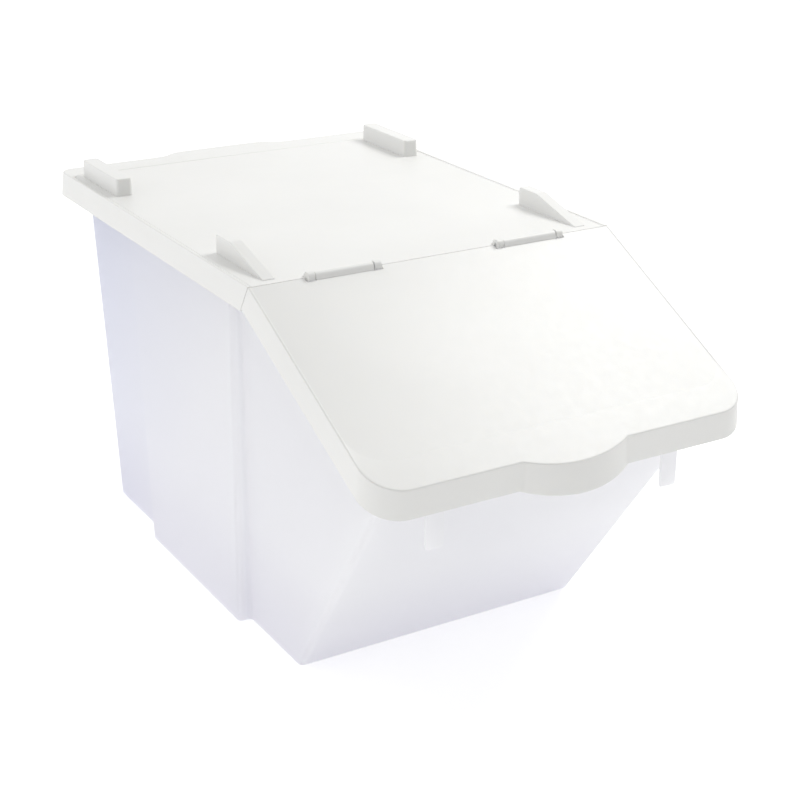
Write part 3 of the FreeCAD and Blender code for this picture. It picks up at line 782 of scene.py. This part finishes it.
def build_wedges(material):
    """The front pair of stacking lugs: a ramp, a short flat crest and an upright heel."""
    sink = -PLATE / 2
    profile = rounded_path([
        (WEDGE_TOE, sink, 0, 0, 1),
        (WEDGE_HEEL, sink, 0, 0, 1),
        (WEDGE_HEEL, LUG_HEIGHT, 1.5, 5, 1),
        (WEDGE_CREST, LUG_HEIGHT, CREST_ROUND, 6, 1),
        (WEDGE_TOE, 0.05, 0, 0, 1),
    ], closed=True)
    for name, side in SIDES.items():
        near = WEDGE_INNER if side > 0 else -WEDGE_INNER - WEDGE_WIDTH
        rings = [[flat_point(x, run, -height) for run, height, _ in profile]
                 for x in (near, near + WEDGE_WIDTH)]
        make_piece("stack_wedge_" + name, *skin(rings), material, "lid", "lid",
                   bevel=0.7, segments=3)


def build_rib(material):
    """The stiffening rib across the underside, just behind the hinges."""
    rings = []
    for depth, inset in ((PLATE / 2, 0.0), (PLATE, 0.0), (RIB_FOOT, 0.3)):
        half, corner = RIB_HALF - inset, 1.0 - inset
        front, rear = RIB_SET + inset, RIB_SET + SKIRT_WALL - inset
        path = rounded_path([
            (-half, front, corner, 3, 1),
            (half, front, corner, 3, 1),
            (half, rear, corner, 3, 1),
            (-half, rear, corner, 3, 1),
        ], closed=True)
        rings.append([flat_point(x, run, depth) for x, run, _ in path])
    make_piece("rear_lid_rib", *skin(rings), material, "lid", "lid", bevel=0.3)


# --- hinges --------------------------------------------------------------------------------

def build_ears(material):
    """Four rounded ears that hold the ends of the hinge pins."""
    low, high = HINGE_LIFT - EAR_RADIUS, HINGE_LIFT + EAR_RADIUS
    profile = rounded_path([
        (-EAR_RADIUS, low, EAR_NOSE, 8, 1),
        (EAR_TAIL, low, 0, 0, 1),
        (EAR_TAIL, -0.2, 0, 0, 1),
        (EAR_CREST, high, EAR_CREST, 6, 1),
        (-EAR_RADIUS, high, EAR_NOSE, 8, 1),
    ], closed=True)
    for name, side in SIDES.items():
        for place, near in (("inner", EAR_INNER), ("outer", OUTER_EAR)):
            start = near if side > 0 else -near - EAR_WIDTH
            rings = [[flat_point(x, run, -height) for run, height, _ in profile]
                     for x in (start, start + EAR_WIDTH)]
            make_piece("hinge_ear_%s_%s" % (place, name), *skin(rings), material, "lid", "lid",
                       bevel=0.5, segments=3)


def barrel_reach(angle, tip, tip_angle):
    """Distance from the hinge's axis to the barrel's outside, faired to a tip on the flap."""
    half = math.acos(BARREL_RADIUS / tip)
    off = abs((angle - tip_angle + math.pi) % (2 * math.pi) - math.pi)
    return BARREL_RADIUS / math.cos(half - off) if off < half else BARREL_RADIUS


def build_barrels(material):
    """The flap's two hinge barrels, bored for the pins and faired into the plate."""
    bore = PIN_RADIUS + PIN_CLEARANCE
    axis = (RIDGE, LID_TOP + HINGE_LIFT)
    _, y, z = slope_point(0.0, FAIRING, 0.1)
    tip, tip_angle = math.hypot(y - axis[0], z - axis[1]), math.atan2(z - axis[1], y - axis[0])
    for name, side in SIDES.items():
        start = (BARREL_START if side > 0 else -BARREL_END) - BARREL_STRETCH
        end = start + BARREL_LENGTH + 2 * BARREL_STRETCH
        ends = [(start, 0.5), (start + 0.15, 0.15), (start + 0.5, 0.0),
                (end - 0.5, 0.0), (end - 0.15, 0.15), (end, 0.5)]

        def outline(angle):
            reach = barrel_reach(angle, tip, tip_angle)
            return [(start, bore)] + [(x, reach - cut) for x, cut in ends] + [(end, bore)]

        shell = lathe(outline, axis, tip_angle, 48)
        make_piece("hinge_barrel_" + name, *shell, material, "flap", "lid")


def build_pins(material):
    """Round pins with chamfered ends and a small gate dimple in each end."""
    length = BARREL_LENGTH + 2 * EAR_GAP + 2 * EAR_WIDTH - PIN_COVER
    for name, side in SIDES.items():
        start = EAR_INNER if side > 0 else -EAR_INNER - length
        end = start + length
        outline = [(start + 0.3, 0.02), (start + 0.2, 0.5), (start, 0.65),
                   (start, PIN_RADIUS - 0.3), (start + 0.3, PIN_RADIUS),
                   (end - 0.3, PIN_RADIUS), (end, PIN_RADIUS - 0.3),
                   (end, 0.65), (end - 0.2, 0.5), (end - 0.3, 0.02)]
        shell = lathe(lambda angle: outline, (RIDGE, LID_TOP + HINGE_LIFT), 0.0, 32)
        pin = make_piece("pin_" + name, *shell, material, "lid", "pin")
        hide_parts("hinge_pin_" + name)


# --- front flap ----------------------------------------------------------------------------

def flap_ring(side_inset, front_inset, side_depth, front_depth, lip=1.0):
    """One ring round the flap from the left end of the ridge to the right end."""
    share = side_depth / SKIRT_DEPTH
    wide = LID_HALF - side_inset + share * SIDE_FLARE
    front = FLAP_LENGTH - front_inset + share * FLAP_FLARE
    corner = max(FLAP_CORNER - side_inset, 8.0)
    half = lerp(LIP_HALF, LIP_FOOT_HALF, share)
    corners = [
        (-wide, PART_GAP, 0, 0, 12),
        (-wide, front, corner, 12, 8),
        (-half, front, 0, 0, 1),
        (half, front, 0, 0, 8),
        (wide, front, corner, 12, 12),
        (wide, PART_GAP, 0, 0, 1),
    ]
    ring = []
    for x, run, passed in rounded_path(corners):
        if passed == 3.0 and x > -half + 0.01:
            ring += lip_arc(half, front, front_depth, lip)
        depth = lerp(side_depth, front_depth, between(passed, 1, 4))
        ring.append(slope_point(x, run, depth - FOOT_TILT * run * share))
    return ring


def lip_arc(half, front, front_depth, lip):
    """The bulge of the finger lip between its two ends."""
    share = front_depth / SKIRT_DEPTH
    points = []
    reach = lerp(LIP_REACH, LIP_FOOT_REACH, share)
    radius = (half ** 2 + reach ** 2) / (2 * reach)
    for k in range(1, LIP_STEPS):
        x = lerp(-half, half, k / LIP_STEPS)
        bulge = (math.sqrt(radius ** 2 - x ** 2) - radius + reach) * lip
        run = front + bulge
        points.append(slope_point(x, run, front_depth - FOOT_TILT * run * share))
    return points


def flap_rear(depth):
    """The flap's free rear edge from right to left, notched round the rear lid's ears."""
    line = []
    for near in (OUTER_EAR, EAR_INNER):
        line += [(near + EAR_WIDTH + EAR_GAP, PART_GAP, 0, 0, 1),
                 (near + EAR_WIDTH + EAR_GAP, RELIEF, 1.2, 4, 1),
                 (near - EAR_GAP, RELIEF, 1.2, 4, 1), (near - EAR_GAP, PART_GAP, 0, 0, 1)]
    mirrored = [(-x, *rest) for x, *rest in reversed(line)]
    right = (LID_HALF, PART_GAP, 0, 0, 1)
    left = (-LID_HALF, PART_GAP, 0, 0, 1)
    path = rounded_path([right] + line + mirrored + [left])[1:-1]
    return [slope_point(x, run, depth) for x, run, _ in path]


def build_flap(material):
    """The sloping hinged half of the lid: bordered panel, flared skirts and finger lip."""
    rings = [
        flap_ring(2.8, 28.6, BEAD_HEIGHT, BEAD_HEIGHT, lip=0.0),
        flap_ring(2.3, 28.0, BEAD_HEIGHT, BEAD_HEIGHT, lip=0.0),
        flap_ring(1.9, 27.2, 0.9 * BEAD_HEIGHT, 0.5 * BEAD_HEIGHT, lip=0.0),
        flap_ring(1.5, 12.0, 0.1 * BEAD_HEIGHT, 0.1 * BEAD_HEIGHT, lip=0.6),
        flap_ring(1.3, 2.0, 0.0, 0.0),
    ]
    for inset, depth in skirt_profile():
        rings.append(flap_ring(inset, inset, depth, depth))
    rings.append(flap_ring(6.0, 6.0, PLATE, PLATE))
    shell = tray(rings, flap_rear(BEAD_HEIGHT), flap_rear(PLATE))
    flap = make_piece("front_flap_shell", *shell, material, "flap", "lid", smooth=32.0)
    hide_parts("front_flap")
    return flap


# --- stage ---------------------------------------------------------------------------------

def build_floor():
    """A wide pale floor just below the base."""
    mesh = bpy.data.meshes.new("floor")
    corners = [(-1, -1), (1, -1), (1, 1), (-1, 1)]
    verts = [(x * FLOOR_HALF, y * FLOOR_HALF, FLOOR_LEVEL) for x, y in corners]
    mesh.from_pydata(verts, [], [(0, 1, 2, 3)])
    mesh.materials.append(floor_paint())
    floor = bpy.data.objects.new("floor", mesh)
    bpy.context.scene.collection.objects.link(floor)


def add_area(name, place, aim, size, power, colour):
    """A soft rectangular light that faces a point."""
    light = bpy.data.lights.new(name, "AREA")
    light.shape = "RECTANGLE"
    light.size, light.size_y = size
    light.energy = power
    light.color = colour
    lamp = bpy.data.objects.new(name, light)
    lamp.location = place
    lamp.rotation_mode = "QUATERNION"
    lamp.rotation_quaternion = (Vector(aim) - Vector(place)).to_track_quat("-Z", "Y")
    bpy.context.scene.collection.objects.link(lamp)


def build_sky():
    """White walls all round: brightest low down at the back left, dimmest high up in front."""
    world = bpy.data.worlds.new("studio")
    world.use_nodes = True
    tree = world.node_tree
    towards = tree.nodes.new("ShaderNodeVectorMath")
    towards.operation = "DOT_PRODUCT"
    towards.inputs[1].default_value = SKY_BRIGHT_SIDE
    tree.links.new(tree.nodes.new("ShaderNodeTexCoord").outputs["Generated"], towards.inputs[0])
    level = add_node(tree, "ShaderNodeMapRange", From_Min=-1.0, From_Max=1.0,
                     To_Min=SKY_DIM, To_Max=SKY_BRIGHT)
    tree.links.new(towards.outputs["Value"], level.inputs["Value"])
    tree.links.new(level.outputs["Result"], tree.nodes["Background"].inputs["Strength"])
    tree.nodes["Background"].inputs["Color"].default_value = (1.0, 1.0, 1.0, 1)
    bpy.context.scene.world = world


def build_lights():
    """The white surround and one softbox above the right-hand side."""
    bpy.context.scene.view_settings.view_transform = "Standard"
    build_sky()
    add_area("softbox", SOFTBOX_PLACE, (0.0, 0.0, 0.2), (0.7, 0.7), SOFTBOX_POWER,
             (1.0, 1.0, 0.985))


def build_camera():
    """The viewpoint, placed round the middle of the ridge on the lid's top."""
    azimuth, elevation, roll = (math.radians(a) for a in (
        CAMERA_AZIMUTH, CAMERA_ELEVATION, CAMERA_ROLL))
    back = Vector((math.sin(azimuth) * math.cos(elevation),
                   -math.cos(azimuth) * math.cos(elevation), math.sin(elevation)))
    level = (-back).cross(Vector((0, 0, 1))).normalized()
    upright = level.cross(-back)
    right = level * math.cos(roll) + upright * math.sin(roll)
    up = upright * math.cos(roll) - level * math.sin(roll)
    camera = bpy.data.objects.new("camera", bpy.data.cameras.new("camera"))
    camera.data.lens, camera.data.sensor_width = CAMERA_LENS, SENSOR
    ridge = Vector((0.0, RIDGE * MM, LID_TOP * MM))
    camera.matrix_world = Matrix.Translation(
        ridge + back * CAMERA_DISTANCE + right * CAMERA_SIDE + up * CAMERA_RISE
    ) @ Matrix((right, up, back)).transposed().to_4x4()
    bpy.context.scene.collection.objects.link(camera)
    bpy.context.scene.camera = camera


white = lid_plastic()
frosted = tub_plastic()
build_tub(frosted)
build_tabs(frosted)
build_lid(white)
build_blocks(white)
build_wedges(white)
build_rib(white)
build_ears(white)
build_flap(white)
build_barrels(white)
build_pins(pin_plastic())
build_floor()
build_lights()
build_camera()
